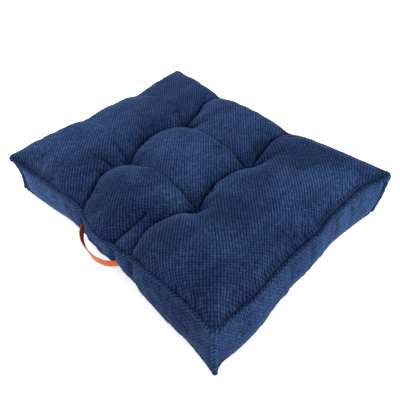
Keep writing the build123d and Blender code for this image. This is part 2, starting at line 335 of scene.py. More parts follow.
def crease_end(end):
    """The plan place that an end of a crease names."""
    if isinstance(end, str):
        return middle(f"tuft_twine_{end}")[:2]
    if end[0] in SIDES:
        axis = SIDES[end[0]][2]
        line = top_line[end[0]]
        nearest = np.abs(line[:, axis] - end[1] * MM).argmin()
        return line[nearest, :2]
    return middle(f"tuft_twine_{end[0]}")[:2] + np.array(end[1:]) * MM


def arc(crease):
    """Rows of x, y and firmness along a crease."""
    start, end, bows, firmness = crease
    start, end = crease_end(start), crease_end(end)
    way = (end - start) / np.linalg.norm(end - start)
    left = np.array([-way[1], way[0]])
    bow = np.array([0, *bows, 0]) * MM
    share = np.linspace(0, 1, 4)[:, None]
    places = start + (end - start) * share + left * bow[:, None]
    return np.column_stack([places, firmness])


def distance_to(patch, rows):
    """Each grid point's plan distance to a crease, and the crease's firmness there."""
    run = np.concatenate([[0], np.cumsum(np.hypot(*np.diff(rows[:, :2], axis=0).T))])
    at = np.linspace(0, run[-1], max(int(run[-1] / (2 * MM)), 8))
    line = through(np.column_stack([run, rows]), at)
    flat = patch[..., :2].reshape(-1, 2)
    gap = (flat[:, None, 0] - line[None, :, 0]) ** 2 + (flat[:, None, 1] - line[None, :, 1]) ** 2
    nearest = gap.argmin(1)
    shape = patch.shape[:2]
    distance = np.sqrt(gap[np.arange(len(flat)), nearest]).reshape(shape)
    return distance, np.clip(line[nearest, 2], 0, 1).reshape(shape)


def settle(load, held, rim, sweeps=(900, 300, 200, 160)):
    """Heights of a skin under a load, fixed at its rim and drawn to held (weight, height)
    fields, solved on coarser grids first."""
    height = None
    for step, times in zip((8, 4, 2, 1), sweeps):
        edge = rim[::step, ::step]
        weight, target = held(step)
        push = load[::step, ::step] * (step * step)
        if height is None:
            height = edge.copy()
        else:
            finer = np.empty(edge.shape)
            finer[::2, ::2] = height
            finer[1::2, ::2] = (height[1:] + height[:-1]) / 2
            finer[:, 1::2] = (finer[:, 2::2] + finer[:, :-2:2]) / 2
            height = finer
        height[0], height[-1], height[:, 0], height[:, -1] = edge[0], edge[-1], edge[:, 0], edge[:, -1]
        inner = (slice(1, -1), slice(1, -1))
        divisor = 4 + weight[inner]
        pull = push[inner] + (weight * target)[inner]
        for _ in range(times):
            around = height[2:, 1:-1] + height[:-2, 1:-1] + height[1:-1, 2:] + height[1:-1, :-2]
            height[inner] = (around + pull) / divisor
    return height


def pillows(patch, creases, tufts, rise, fullness):
    """Heights of a tufted face: a skin that spans its seams and tufts, and the swell between; and the painted
    shade along its creases and round its tufts.
    """
    nil = np.zeros(patch.shape[:2])
    lines = [distance_to(patch, crease) for crease in creases]
    tufts = list(tufts.values())
    points = [np.hypot(patch[..., 0] - x, patch[..., 1] - y) for x, y, _ in tufts]
    spacing = (patch[-1, 0, 0] - patch[0, 0, 0]) / CELLS_X

    def hold_tufts(step):
        reach = max(5 * MM, spacing * step)
        weight = nil[::step, ::step].copy()
        target = weight.copy()
        for distance, tuft in zip(points, tufts):
            here = 4 * np.exp(-((distance[::step, ::step] / reach) ** 2))
            weight += here
            target += here * tuft[2]
        return weight, target / np.maximum(weight, 1e-9)

    def hold_all(step):
        reach = max(CREASE_RADIUS, spacing * step)
        weight = hold_tufts(step)[0]
        for distance, firmness in lines:
            here = distance[::step, ::step]
            weight += 4 * firmness[::step, ::step] ** 4 * np.exp(-((here / reach) ** 2))
        return weight, nil[::step, ::step]

    base = settle(nil, hold_tufts, patch[..., 2])
    swell = settle(nil + 1e-4, hold_all, nil)
    swell = (np.clip(swell, 0, None) / swell.max()) ** fullness
    # painted shade: darker along the firm parts of each crease and round each tuft
    fold_shade = nil.copy()
    for distance, firmness in lines:
        fold_shade = np.maximum(fold_shade, firmness**2 * np.exp(-distance / FOLD_SHADE_REACH))
    for distance in points:
        fold_shade = np.maximum(fold_shade, np.exp(-distance / TUFT_SHADE_REACH))
    return base, rise * swell, fold_shade


def normals(points):
    """Unit normals of a grid of points."""
    along = np.gradient(points, axis=0)
    across = np.gradient(points, axis=1)
    n = np.cross(along, across)
    return n / np.linalg.norm(n, axis=2, keepdims=True)


def pitted(points, sign=1):
    """The grid with the fabric's pits pressed in and its knots raised; sign is -1 where the grid's
    normals point inward."""
    i = np.arange(points.shape[0])[:, None]
    j = np.arange(points.shape[1])[None, :]
    columns = np.cos(math.pi * (i + j) / 2)
    rows = np.cos(math.pi * (i - j) / 2)
    lift = -PIT_DEPTH * (COLUMN_WEIGHT * columns + (1 - COLUMN_WEIGHT) * rows)
    return points + normals(points) * (sign * lift)[..., None]


def lumps(points, pitch, seed):
    """A smooth, uneven rise and fall over places in space, about -1 to 1, its waves about a pitch long."""
    chance = np.random.default_rng(seed)
    total = np.zeros(points.shape[:-1])
    for _ in range(14):
        way = chance.normal(size=3)
        way *= TAU / (pitch * chance.uniform(0.7, 1.5) * np.linalg.norm(way))
        total += np.sin(points @ way + chance.uniform(0, TAU))
    return total / 4


def link_object(name, data):
    """A new object in the scene."""
    thing = bpy.data.objects.new(name, data)
    bpy.context.scene.collection.objects.link(thing)
    return thing


def mesh_piece(name, points, faces):
    """A smooth mesh piece from plain lists of points and faces."""
    mesh = bpy.data.meshes.new(name)
    mesh.from_pydata(points, [], faces)
    mesh.polygons.foreach_set("use_smooth", np.ones(len(faces), bool))
    return link_object(name, mesh)


def grid_quads(index):
    """The four-sided faces of a grid of point numbers."""
    return np.stack([index[:-1, :-1], index[1:, :-1], index[1:, 1:], index[:-1, 1:]], -1).reshape(-1, 4)


def make_piece(name, points, uv=None, flip=False, close=False):
    """A mesh piece from a grid of points, with smooth faces and a UV map in fabric cells."""
    n, m = points.shape[:2]
    index = np.arange(n * m).reshape(n, m)
    if close:
        index = np.column_stack([index, index[:, 0]])
    quads = grid_quads(index)
    if flip:
        quads = quads[:, ::-1]
    mesh = bpy.data.meshes.new(name)
    mesh.vertices.add(n * m)
    mesh.vertices.foreach_set("co", points.reshape(-1).astype(np.float32))
    mesh.loops.add(quads.size)
    mesh.loops.foreach_set("vertex_index", quads.reshape(-1).astype(np.int32))
    mesh.polygons.add(len(quads))
    mesh.polygons.foreach_set("loop_start", np.arange(0, quads.size, 4, dtype=np.int32))
    mesh.update(calc_edges=True)
    mesh.validate()
    mesh.polygons.foreach_set("use_smooth", np.ones(len(quads), bool))
    if uv is not None:
        layer = mesh.uv_layers.new(name="fabric")
        layer.data.foreach_set("uv", uv.reshape(-1, 2)[quads.reshape(-1)].reshape(-1).astype(np.float32))
    return link_object(name, mesh)


def note(piece, name, values):
    """Keep a value for each point of a piece, for its material."""
    attribute = piece.data.attributes.new(name, "FLOAT", "POINT")
    attribute.data.foreach_set("value", values.reshape(-1).astype(np.float32))


def nap_and_light_tone(points, nap_and_light_marks):
    """How light (above 0) or dark a face is painted: nap marks and painted light and shade."""
    nap_and_painted_light = np.zeros(points.shape[:2])
    for x, y, radius, strength in nap_and_light_marks:
        distance = np.hypot(points[..., 0] / MM - x, points[..., 1] / MM - y)
        nap_and_painted_light += strength * np.exp(-((distance / radius) ** 4))
    return nap_and_painted_light


def cell_uv(n, m):
    """UVs that count the fabric's rows, two cells to each."""
    i, j = np.meshgrid(np.arange(n), np.arange(m), indexing="ij")
    return np.stack([i / 2, j / 2], -1)


# --- Materials ---


class Nodes:
    """A short way to write a material's nodes."""

    def __init__(self, name):
        self.material = bpy.data.materials.new(name)
        self.material.use_nodes = True
        self.tree = self.material.node_tree
        self.shader = self.tree.nodes["Principled BSDF"]

    def add(self, kind, settings=None, **inputs):
        """A node with its settings and inputs; i0, i1 and so on name an input by number."""
        node = self.tree.nodes.new(kind)
        for key, value in (settings or {}).items():
            setattr(node, key, value)
        for key, value in inputs.items():
            socket = node.inputs[int(key[1:])] if key[0] == "i" and key[1:].isdigit() else node.inputs[key]
            self.put(socket, value)
        return node

    def put(self, socket, value):
        if isinstance(value, bpy.types.NodeSocket):
            self.tree.links.new(value, socket)
        elif isinstance(value, bpy.types.Node):
            self.tree.links.new(value.outputs[0], socket)
        else:
            socket.default_value = value

    def math(self, operation, *values):
        inputs = {f"i{k}": value for k, value in enumerate(values)}
        return self.add("ShaderNodeMath", {"operation": operation}, **inputs)

    def ramp(self, value, *stops):
        node = self.add("ShaderNodeValToRGB", Fac=value)
        stop_list = node.color_ramp.elements
        while len(stop_list) < len(stops):
            stop_list.new(0.5)
        for element, (place, colour) in zip(stop_list, stops):
            element.position = place
            element.color = (*colour, 1) if len(colour) == 3 else colour
        return node

    def noise(self, vector, scale, detail=3.0, roughness=0.5):
        return self.add("ShaderNodeTexNoise", Vector=vector, Scale=scale, Detail=detail, Roughness=roughness)

    def mix(self, factor, a, b, blend="MIX"):
        node = self.add("ShaderNodeMix", {"data_type": "RGBA", "blend_type": blend})
        self.put(node.inputs[0], factor)
        self.put(node.inputs[6], a)
        self.put(node.inputs[7], b)
        return node.outputs[2]


# The fabric's tones from the top of its raised net down to the bottom of its pits: darker with depth, painted
# shade in the pits
NAVY_NET = (0.0228, 0.0500, 0.1400)
NAVY_NET_SIDE = (0.0176, 0.0410, 0.1170)
NAVY_BASE = (0.0082, 0.0230, 0.0710)
NAVY_PIT_SHADE = (0.0020, 0.0074, 0.0290)
# Painted shade, multiplied in along creases, round tufts, in stitch gathers and in the seams' grooves
NAVY_FOLD_SHADE = (0.10, 0.14, 0.22)


def chenille():
    """Navy chenille: a raised net round rows of pits, with a nap that lies this way and that; painted shade
    in the pits, creases, tuft pits and seam grooves, and painted light and shade laid over regions.
    """
    m = Nodes("navy_chenille")
    uv = m.add("ShaderNodeUVMap", {"uv_map": "fabric"})
    parts = m.add("ShaderNodeSeparateXYZ", Vector=uv)
    waves = []
    for way, weight in (("ADD", COLUMN_WEIGHT), ("SUBTRACT", 1 - COLUMN_WEIGHT)):
        turned = m.math("MULTIPLY", m.math(way, parts.outputs[0], parts.outputs[1]), math.pi)
        waves.append(m.math("MULTIPLY", m.math("COSINE", turned), weight))
    lattice = m.math("ADD", *waves)
    depth = m.math("MULTIPLY_ADD", lattice, 0.5, 0.5)
    # the pits painted darker with depth: painted shade in the recesses
    net = m.ramp(depth, (0.0, NAVY_NET), (0.40, NAVY_NET_SIDE), (0.68, NAVY_BASE), (0.97, NAVY_PIT_SHADE))

    # the pile: single fibres, tufts of it, and the broad marks of hands brushed over it
    fibre = m.noise(uv, 2.6, 3.0, 0.7)
    clump = m.noise(uv, 0.55, 2.0, 0.6)
    place = m.add("ShaderNodeMapping", Vector=uv)
    place.inputs["Rotation"].default_value = (0, 0, 0.7)
    place.inputs["Scale"].default_value = (1.0, 0.45, 1.0)
    brushed = m.noise(place, 0.10, 4.0, 0.65)
    broad = m.noise(uv, 0.022, 2.0, 0.5)
    nap_and_light_marks = m.math("ADD", m.math("MULTIPLY", brushed, 0.65), m.math("MULTIPLY", broad, 0.35))
    grazed = m.add("ShaderNodeMapping", Vector=uv)
    grazed.inputs["Rotation"].default_value = (0, 0, -0.5)
    grazed.inputs["Scale"].default_value = (1.0, 0.35, 1.0)
    streak = m.noise(grazed, 0.8, 4.0, 0.6)
    # painted light and shade over regions of the cover, and a painted highlight on the rolled edges, added to
    # the nap's marks
    nap_and_painted_light = m.add("ShaderNodeAttribute", {"attribute_name": "nap_and_painted_light"}).outputs["Fac"]
    nap_and_light_marks = m.math("MULTIPLY_ADD", nap_and_painted_light, 0.4, nap_and_light_marks)
    colour = net.outputs[0]
    for value, low, high, dark, light in (
        (nap_and_light_marks, 0.34, 0.66, (0.58, 0.60, 0.66), (1.55, 1.48, 1.36)),
        (clump, 0.34, 0.66, (0.66, 0.68, 0.74), (1.44, 1.40, 1.30)),
        (fibre, 0.30, 0.70, (0.66, 0.68, 0.72), (1.42, 1.40, 1.34)),
        (streak, 0.56, 0.68, (0.97, 0.97, 0.98), (1.65, 1.58, 1.42)),
    ):
        tone = m.ramp(value, (low, dark), (high, light))
        colour = m.mix(1.0, colour, tone.outputs[0], "MULTIPLY")
    # painted shade: darkened in creases, tuft pits, stitch gathers and seam grooves
    fold_shade = m.add("ShaderNodeAttribute", {"attribute_name": "fold_shade"}).outputs["Fac"]
    colour = m.mix(fold_shade, colour, m.mix(1.0, colour, (*NAVY_FOLD_SHADE, 1), "MULTIPLY"))
    m.put(m.shader.inputs["Base Color"], colour)
    m.put(m.shader.inputs["Roughness"], m.math("MULTIPLY_ADD", fibre, 0.18, 0.78))
    relief = m.math("MULTIPLY_ADD", lattice, -0.5, m.math("MULTIPLY", fibre, 0.8))
    bump = m.add("ShaderNodeBump", Height=relief, Strength=0.5, Distance=0.0007)
    m.put(m.shader.inputs["Normal"], bump)
    m.shader.inputs["Sheen Weight"].default_value = 0.7
    m.shader.inputs["Sheen Roughness"].default_value = 0.35
    m.shader.inputs["Sheen Tint"].default_value = (0.14, 0.24, 0.50, 1)
    m.shader.inputs["Specular IOR Level"].default_value = 0.06
    return m.material


def spun_thread(name, colour):
    """Spun thread: two tones that wind along it."""
    m = Nodes(name)
    place = m.add("ShaderNodeTexCoord").outputs["Object"]
    bands = {"bands_direction": "DIAGONAL"}
    wind = m.add("ShaderNodeTexWave", bands, Vector=place, Scale=420.0, Distortion=2.0)
    dark = tuple(c * 0.6 for c in colour)
    light = tuple(min(c * 1.5, 1) for c in colour)
    tone = m.ramp(wind, (0.2, dark), (0.8, light))
    m.put(m.shader.inputs["Base Color"], tone)
    bump = m.add("ShaderNodeBump", Height=wind.outputs[1], Strength=0.6, Distance=0.0003)
    m.put(m.shader.inputs["Normal"], bump)
    m.shader.inputs["Roughness"].default_value = 0.7
    m.shader.inputs["Specular IOR Level"].default_value = 0.1
    return m.material


def fibre_fill():
    """White carded fibre."""
    m = Nodes("fibre_fill")
    place = m.add("ShaderNodeTexCoord").outputs["Object"]
    wisps = m.noise(place, 160.0, 6.0, 0.7)
    m.put(m.shader.inputs["Base Color"], m.ramp(wisps, (0.3, (0.72, 0.72, 0.70)), (0.7, (0.90, 0.90, 0.88))))
    m.put(m.shader.inputs["Normal"], m.add("ShaderNodeBump", Height=wisps, Strength=0.8, Distance=0.002))
    m.shader.inputs["Roughness"].default_value = 0.95
    return m.material


def leather():
    """Tan leather: fine grain and a little wear."""
    m = Nodes("tan_leather")
    place = m.add("ShaderNodeTexCoord").outputs["Object"]
    grain = m.add("ShaderNodeTexVoronoi", {"feature": "DISTANCE_TO_EDGE"}, Vector=place, Scale=900.0)
    cloud = m.noise(place, 60.0, 4.0, 0.6)
    tone = m.ramp(cloud, (0.3, (0.56, 0.105, 0.022)), (0.7, (0.84, 0.175, 0.042)))
    lines = m.ramp(grain, (0.0, (0.70, 0.66, 0.62)), (0.12, (1.0, 1.0, 1.0)))
    m.put(m.shader.inputs["Base Color"], m.mix(0.6, tone.outputs[0], lines.outputs[0], "MULTIPLY"))
    m.put(m.shader.inputs["Roughness"], m.math("MULTIPLY_ADD", cloud, 0.25, 0.38))
    m.put(m.shader.inputs["Normal"], m.add("ShaderNodeBump", Height=grain, Strength=0.35, Distance=0.0002))
    m.shader.inputs["Specular IOR Level"].default_value = 0.25
    return m.material


def finish_piece(piece, material, body="cushion"):
    """Give a piece its material and slot, and let it ride."""
    piece.data.materials.clear()
    piece.data.materials.append(material)
    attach(piece, body)
    return piece


# --- Cover ---

fabric = chenille()


def rim_groove_shade(shape, reach=1.6):
    """How deep in the seam's groove the points of a panel lie, for the painted shade there; reach is in
    cells.
    """
    i = np.arange(shape[0])[:, None]
    j = np.arange(shape[1])[None, :]
    cells = np.minimum(np.minimum(i, shape[0] - 1 - i), np.minimum(j, shape[1] - 1 - j))
    return 0.8 * np.exp(-cells / reach)


def between(grid, step, shape):
    """A coarse grid of values read at every cell of a finer one."""
    i, j = np.arange(shape[0]) / step, np.arange(shape[1]) / step
    a, b = np.minimum(i.astype(int), grid.shape[0] - 2), np.minimum(j.astype(int), grid.shape[1] - 2)
    s, t = i - a, j - b
    s, t = (s * s * (3 - 2 * s))[:, None, None], (t * t * (3 - 2 * t))[None, :, None]
    a, b = a[:, None], b[None, :]
    near = grid[a, b] * (1 - s) + grid[a + 1, b] * s
    far = grid[a, b + 1] * (1 - s) + grid[a + 1, b + 1] * s
    return near * (1 - t) + far * t


def simmed(points, held):
    """The grid after its cloth has swelled and puckered between what holds it."""
    step = CLOTH_STEP
    coarse = points[::step, ::step]
    piece = make_piece("cloth", coarse)
    pins = piece.vertex_groups.new(name="held")
    for index, weight in enumerate(held[::step, ::step].reshape(-1).tolist()):
        pins.add([index], weight, "REPLACE")
    cloth = piece.modifiers.new("cloth", "CLOTH")
    cloth.collision_settings.use_collision = False
    settings = cloth.settings
    settings.quality = 5
    settings.mass = 0.2
    settings.tension_stiffness = 20
    settings.compression_stiffness = 20
    settings.shear_stiffness = 6
    settings.bending_stiffness = 0.4
    settings.use_pressure = True
    settings.uniform_pressure_force = 4
    settings.vertex_group_mass = "held"
    settings.shrink_min = -CLOTH_SLACK
    settings.effector_weights.gravity = 0
    scene = bpy.context.scene
    for number in range(1, 21):
        scene.frame_set(number)
    with_cloth = piece.evaluated_get(bpy.context.evaluated_depsgraph_get()).data
    moved = np.empty(coarse.size, np.float32)
    with_cloth.vertices.foreach_get("co", moved)
    move = moved.reshape(coarse.shape) - coarse
    size = np.linalg.norm(move, axis=-1, keepdims=True)
    move *= np.minimum(1, CLOTH_CAP / np.maximum(size, 1e-9))
    scene.frame_set(1)
    bpy.data.objects.remove(piece)
    return points + between(move, step, points.shape[:2])


def top_surface():
    """The crowned, tufted top, and the painted shade in its creases and tuft pits."""
    patch = filled_patch(top_line)
    creases = [arc(crease) for crease in CREASES]
    seats = tuft_seats("top")
    for x, y, _ in seats.values():
        away = patch[..., :2] - (x, y)
        distance = np.linalg.norm(away, axis=-1, keepdims=True) / MM
        patch[..., :2] -= away * PINCH * np.exp(-((distance / PINCH_RADIUS) ** 2))
    base, swell, fold_shade = pillows(patch, creases, seats, TOP_RISE, TOP_FULLNESS)
    distances = {c: np.hypot(patch[..., 0] - x, patch[..., 1] - y) / MM for c, (x, y, _) in seats.items()}
    for corner, (_, _, reach, share) in TUFT_PIT.items():
        swell = swell * (1 - share * np.exp(-((distances[corner] / reach) ** 2)))
    for x, y, reach, share in FLATTER:
        distance = np.hypot(patch[..., 0] / MM - x, patch[..., 1] / MM - y)
        swell = swell * (1 - share * np.exp(-((distance / reach) ** 2)))
    points = patch.copy()
    points[..., 2] = base + swell
    outward = normals(points)
    fade = (1 - np.exp(-swell / (8 * MM))) * (1 - fold_shade)
    points += outward * (PLUMPNESS * fade)[..., None]
    for corner, (depth, radius, _, _) in TUFT_PIT.items():
        pit = np.exp(-((distances[corner] / radius) ** 2))
        x, y, _ = seats[corner]
        turn = np.arctan2(patch[..., 1] - y, patch[..., 0] - x)
        pucker = 0.6 * np.cos(7 * turn + depth) + 0.4 * np.cos(11 * turn + radius)
        ring = np.exp(-(((distances[corner] - 2 * radius) / (1.2 * radius)) ** 2))
        points[..., 2] -= depth * MM * (pit + 0.18 * pucker * ring)
        # painted shade in the tuft's pit and in the valleys of its puckers
        fold_shade = np.maximum(fold_shade, np.maximum(pit**1.5, 0.7 * ring * np.clip(pucker, 0, 1) ** 2))
    held = np.maximum(fold_shade, rim_groove_shade(fold_shade.shape) / 0.8)
    points = simmed(points, np.clip(held, 0, 1) ** 3)
    above = np.clip(points[..., 2] - EASED_FROM, 0, None)
    points[..., 2] += EASED_SPAN * (1 - np.exp(-above / EASED_SPAN)) - above
    return points, fold_shade


top_points, top_fold_shade = top_surface()
top_cover = make_piece("top_cover", pitted(top_points), cell_uv(CELLS_X + 1, CELLS_Y + 1))
# painted shade in the creases, tuft pits and the seam's groove
note(top_cover, "fold_shade", np.maximum(top_fold_shade, rim_groove_shade(top_fold_shade.shape, 3.2)))
# painted light and shade over regions of the top, mixed with nap marks
note(top_cover, "nap_and_painted_light", nap_and_light_tone(top_points, TOP_NAP_AND_PAINTED_LIGHT))
finish_piece(top_cover, fabric)
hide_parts("top_panel")


def bottom_surface():
    """The tufted underside, flat where it rests."""
    patch = filled_patch(bottom_line)
    tufts = tuft_seats("bottom")
    creases = []
    for x, y, _ in tufts.values():
        edge = math.copysign(middle("corner_ridge_back_right")[1] - BOTTOM_INSET, y)
        creases.append(np.array([(x, y, 1.0), (x * 1.1, (y + edge) / 2, 0.5), (x * 1.15, edge, 0.4)]))
    base, swell, fold_shade = pillows(patch, creases, tufts, BOTTOM_RISE, TOP_FULLNESS)
    points = patch.copy()
    free = base - swell
    points[..., 2] = (free + np.sqrt(free**2 + REST_EASING**2)) / 2
    points[[0, -1]], points[:, [0, -1]] = patch[[0, -1]], patch[:, [0, -1]]
    return points, fold_shade


bottom_points, bottom_fold_shade = bottom_surface()
bottom_cover = make_piece(
    "bottom_cover", pitted(bottom_points, sign=-1), cell_uv(CELLS_X + 1, CELLS_Y + 1), flip=True
)
# painted shade in the underside's creases, round its tufts and in the seam's groove
note(bottom_cover, "fold_shade", np.maximum(bottom_fold_shade, rim_groove_shade(bottom_fold_shade.shape)))
finish_piece(bottom_cover, fabric)
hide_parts("bottom_panel")


def boxing_surface(side):
    """A side panel between the two seams, bulging, with folds at the pinches, and painted shade in the folds
    and along the seams.
    """
    first, last, axis, sign = SIDES[side]
    high, low = top_line[side], bottom_line[side]
    w = np.linspace(0, 1, CELLS_UP + 1)[None, :]
    points = high[:, None] * (1 - w[..., None]) + low[:, None] * w[..., None]
    along = high[:, None, axis]
    a = np.linspace(0, 1, len(high))[:, None]
    for end, corner in ((0, first), (-1, last)):
        straight = points[end] - corner_line(corner, w[0])
        near = np.exp(-((along - along[end]) / CORNER_REACH) ** 2)
        points -= near[..., None] * straight[None]
    round_out = np.sin(math.pi * w**1.15) ** 0.55 * (1 - (2 * a - 1) ** 8)
    out = round_out * BOXING_BULGE
    for pitch, height in BOXING_LUMPS:
        out = out + height * round_out * lumps(points, pitch, 5)
    pucker = lumps(points * (1, 1, 0.3), 15 * MM, 8)
    out = out + 1.0 * MM * pucker * np.exp(-((w / 0.22) ** 2)) * round_out
    fold_shade = rim_groove_shade(points.shape)
    for place, depth, width, lean in BOXING_FOLDS[side]:
        away = along - (place + lean * w)
        fading = 1 - 0.75 * w
        out = out - depth * np.exp(-((away / width) ** 2)) * fading
        # painted shade in the fold
        fold_shade = np.maximum(fold_shade, depth / (10 * MM) * np.exp(-np.abs(away) / FOLD_SHADE_REACH) * fading)
    points[..., 1 - axis] += sign * out
    return points, fold_shade


for side, (_, _, axis, sign) in SIDES.items():
    facing = -sign if axis == 0 else sign
    points, fold_shade = boxing_surface(side)
    if axis == 0:
        points, fold_shade, facing = points[::-1], fold_shade[::-1], -facing
    grid = pitted(points, sign=-facing)
    piece = make_piece(f"boxing_cover_{side}", grid, cell_uv(*grid.shape[:2]), flip=facing > 0)
    # painted shade in the panel's folds and seam grooves
    note(piece, "fold_shade", fold_shade)
    # painted light and shade over the side panels
    note(piece, "nap_and_painted_light", nap_and_light_tone(points, SIDE_PAINTED_LIGHT_AND_SHADE))
    finish_piece(piece, fabric)
    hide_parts(f"boxing_{side}")

# --- Rolled seams ---


def ring_of(line, spacing):
    """The four seams joined into one closed line, anticlockwise, evenly spaced, its corners eased."""
    ring = np.concatenate([line["front"][:-1], line["right"][:-1], line["back"][:0:-1], line["left"][:0:-1]])
    closed = np.concatenate([ring, ring[:1]])
    run = run_along(closed)
    count = int(round(run[-1] / spacing))
    at = np.linspace(0, run[-1], count, endpoint=False)
    points = np.column_stack([np.interp(at, run, closed[:, k]) for k in range(3)])
    for _ in range(CORNER_EASING):
        points = points / 2 + (np.roll(points, 1, 0) + np.roll(points, -1, 0)) / 4
    corners = [run[0], run[CELLS_X], run[CELLS_X + CELLS_Y], run[2 * CELLS_X + CELLS_Y], run[-1]]
    to_corner = np.min([np.abs(at - c) for c in corners], axis=0)
    return points, at, to_corner, run[-1]


def unit(v):
    """Vectors at length 1."""
    return v / np.linalg.norm(v, axis=-1, keepdims=True)


def gathers(phase):
    """How far a rolled edge is drawn in by its stitches, one at each whole number."""
    return np.exp(-((np.abs((phase + 0.5) % 1 - 0.5) / 0.2) ** 2))


def welt(points, long_way, thin_way, length, breadth, phase, growth=0, draw=0.30):
    """A rolled fabric edge swept along points, gathered at each stitch: a grid of points round it."""
    lump = 1 + 0.06 * np.sin(phase * 1.7) + 0.05 * np.sin(phase * 0.53 + 2)
    size = (lump * (1 + growth) * (1 - draw * gathers(phase)))[:, None, None]
    turn = np.linspace(0, TAU, WELT_SIDES, endpoint=False)[None, :, None]
    return (
        points[:, None]
        + long_way[:, None] * (size * length / 2 * np.sin(turn))
        + thin_way[:, None] * (size * breadth / 2 * np.cos(turn))
    )


def overcast(name, points, long_way, thin_way, ahead, length, breadth):
    """Thread loops round a rolled edge, one at each point."""
    turn = np.linspace(0, TAU, WELT_SIDES, endpoint=False)[None, :, None]
    loops = (
        points[:, None]
        + long_way[:, None] * (length / 2 * LOOP_SHARE) * np.sin(turn)
        + thin_way[:, None] * (breadth / 2 * LOOP_SHARE) * np.cos(turn)
        + ahead[:, None] * LOOP_SLANT * np.cos(turn)
    )
    thread = tubes(name, loops, THREAD_RADIUS, closed=True)
    return finish_piece(thread, thread_material)


def tubes(name, lines, radius, sides=5, closed=False):
    """One mesh of many round tubes; lines is (tube, point, xyz)."""
    ahead = np.roll(lines, -1, 1) - np.roll(lines, 1, 1)
    if not closed:
        ahead[:, 0] = lines[:, 1] - lines[:, 0]
        ahead[:, -1] = lines[:, -1] - lines[:, -2]
    ahead = unit(ahead)
    guide = np.array([0.31, 0.17, 0.94])
    side_way = unit(np.cross(ahead, guide))
    other_way = np.cross(ahead, side_way)
    turn = np.linspace(0, TAU, sides, endpoint=False)[None, None, :, None]
    rings = lines[:, :, None] + radius * (
        side_way[:, :, None] * np.cos(turn) + other_way[:, :, None] * np.sin(turn)
    )
    count, length = lines.shape[:2]
    index = np.arange(count * length * sides).reshape(count, length, sides)
    here = index if closed else index[:, :-1]
    after = np.roll(index, -1, 1) if closed else index[:, 1:]
    quads = np.stack([here, np.roll(here, -1, 2), np.roll(after, -1, 2), after], -1).reshape(-1, 4)
    faces = quads.tolist()
    if not closed:
        faces += index[:, 0, ::-1].tolist() + index[:, -1].tolist()
    return mesh_piece(name, rings.reshape(-1, 3).tolist(), faces)


def roll_uv(rings):
    """UVs in fabric cells for a rolled edge."""
    around, along = np.meshgrid(np.arange(WELT_SIDES) / 2, np.arange(rings) * RING_SPACING / (4.4 * MM))
    return np.stack([along, around], -1)


def finish_roll(roll, dark, node):
    """A rolled edge's shading, material and what it stands for; dark is the painted shade at each ring, and
    the whole roll gets a painted highlight.
    """
    note(roll, "fold_shade", np.repeat(dark, WELT_SIDES))
    note(roll, "nap_and_painted_light", np.full(len(dark) * WELT_SIDES, ROLL_PAINTED_LIGHT))
    finish_piece(roll, fabric)
    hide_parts(node)


def seam_pieces(level, line, tilt, length, breadth, lift):
    """The rolled edge along a ring of seams, and its overcast thread."""
    points, at, to_corner, total = ring_of(line, RING_SPACING)
    stitches = int(total / STITCH_PITCH)
    ahead = unit(np.roll(points, -3, 0) - np.roll(points, 3, 0))
    out = unit(np.cross(ahead, (0, 0, 1)))
    long_way = unit(out * math.sin(tilt) + np.array([0, 0, math.cos(tilt)]))
    thin_way = unit(np.cross(long_way, ahead))
    ear = np.exp(-((to_corner / EAR_REACH) ** 2))
    centre = points + long_way * lift + (out * ear[:, None]) * 2 * MM
    phase = at / total * stitches
    grid = welt(centre, long_way, thin_way, length, breadth, phase, 0.35 * ear)
    grid = np.concatenate([grid, grid[:1]])
    roll = make_piece(f"{level}_seam_roll", grid, roll_uv(len(grid)), close=True)
    # painted shade in the gathers between stitches
    dark = 0.75 * gathers(np.append(phase, phase[0]))
    finish_roll(roll, dark, f"{level}_seam_ridge")
    where = np.round(np.arange(stitches) / stitches * len(points)).astype(int)
    rows = (centre[where], long_way[where], thin_way[where], ahead[where])
    thread = overcast(f"{level}_seam_stitches", *rows, length, breadth)
    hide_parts(f"{level}_seam_thread")


def corner_pieces(corner):
    """The upright rolled edge between two side panels, and its overcast thread."""
    w = np.linspace(0, 1, 90)
    points = corner_line(corner, w)
    diagonal = unit(np.array([*np.sign(points[0, :2]), 0.0]))
    stitches = int(np.linalg.norm(points[0] - points[-1]) / STITCH_PITCH)
    ahead = unit(np.gradient(points, axis=0))
    thin_way = unit(np.cross(ahead, diagonal))
    long_way = np.cross(thin_way, ahead)
    phase = w * stitches
    grid = welt(points, long_way, thin_way, CORNER_ROLL, CORNER_ROLL, phase, draw=0.14)
    roll = make_piece(f"corner_roll_{corner}", grid, roll_uv(len(grid)), close=True)
    # painted shade, fainter, in the gathers between stitches
    finish_roll(roll, 0.25 * gathers(phase), f"corner_ridge_{corner}")
    where = np.round(np.arange(1, stitches) / stitches * (len(points) - 1)).astype(int)
    rows = (points[where], long_way[where], thin_way[where], ahead[where])
    thread = overcast(f"corner_stitches_{corner}", *rows, CORNER_ROLL, CORNER_ROLL)
    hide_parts(f"corner_thread_{corner}")


thread_material = spun_thread("seam_thread", (0.004, 0.011, 0.045))
seam_pieces("top", top_line, math.radians(60), 11 * MM, 10.5 * MM, 4 * MM)
seam_pieces("bottom", bottom_line, math.radians(195), 8 * MM, 6.5 * MM, 3.5 * MM)
for corner in CORNERS:
    corner_pieces(corner)

# --- Stuffing and tufts ---

FILLING_STEP = 8  # fabric cells to one cell of the slab's faces
FILLING_SHARE = 0.94  # its size in plan against the cover's
TWINE_RADIUS = 0.75 * MM
STITCH_HALF = 4 * MM  # half of each of the two crossed stitches in a tuft's seat
STITCH_RISE = 1.6 * MM
STRAND_OFFSET = 0.8 * MM  # how far each of the twine's two strands winds off its middle
KNOT_RADIUS = 2.2 * MM


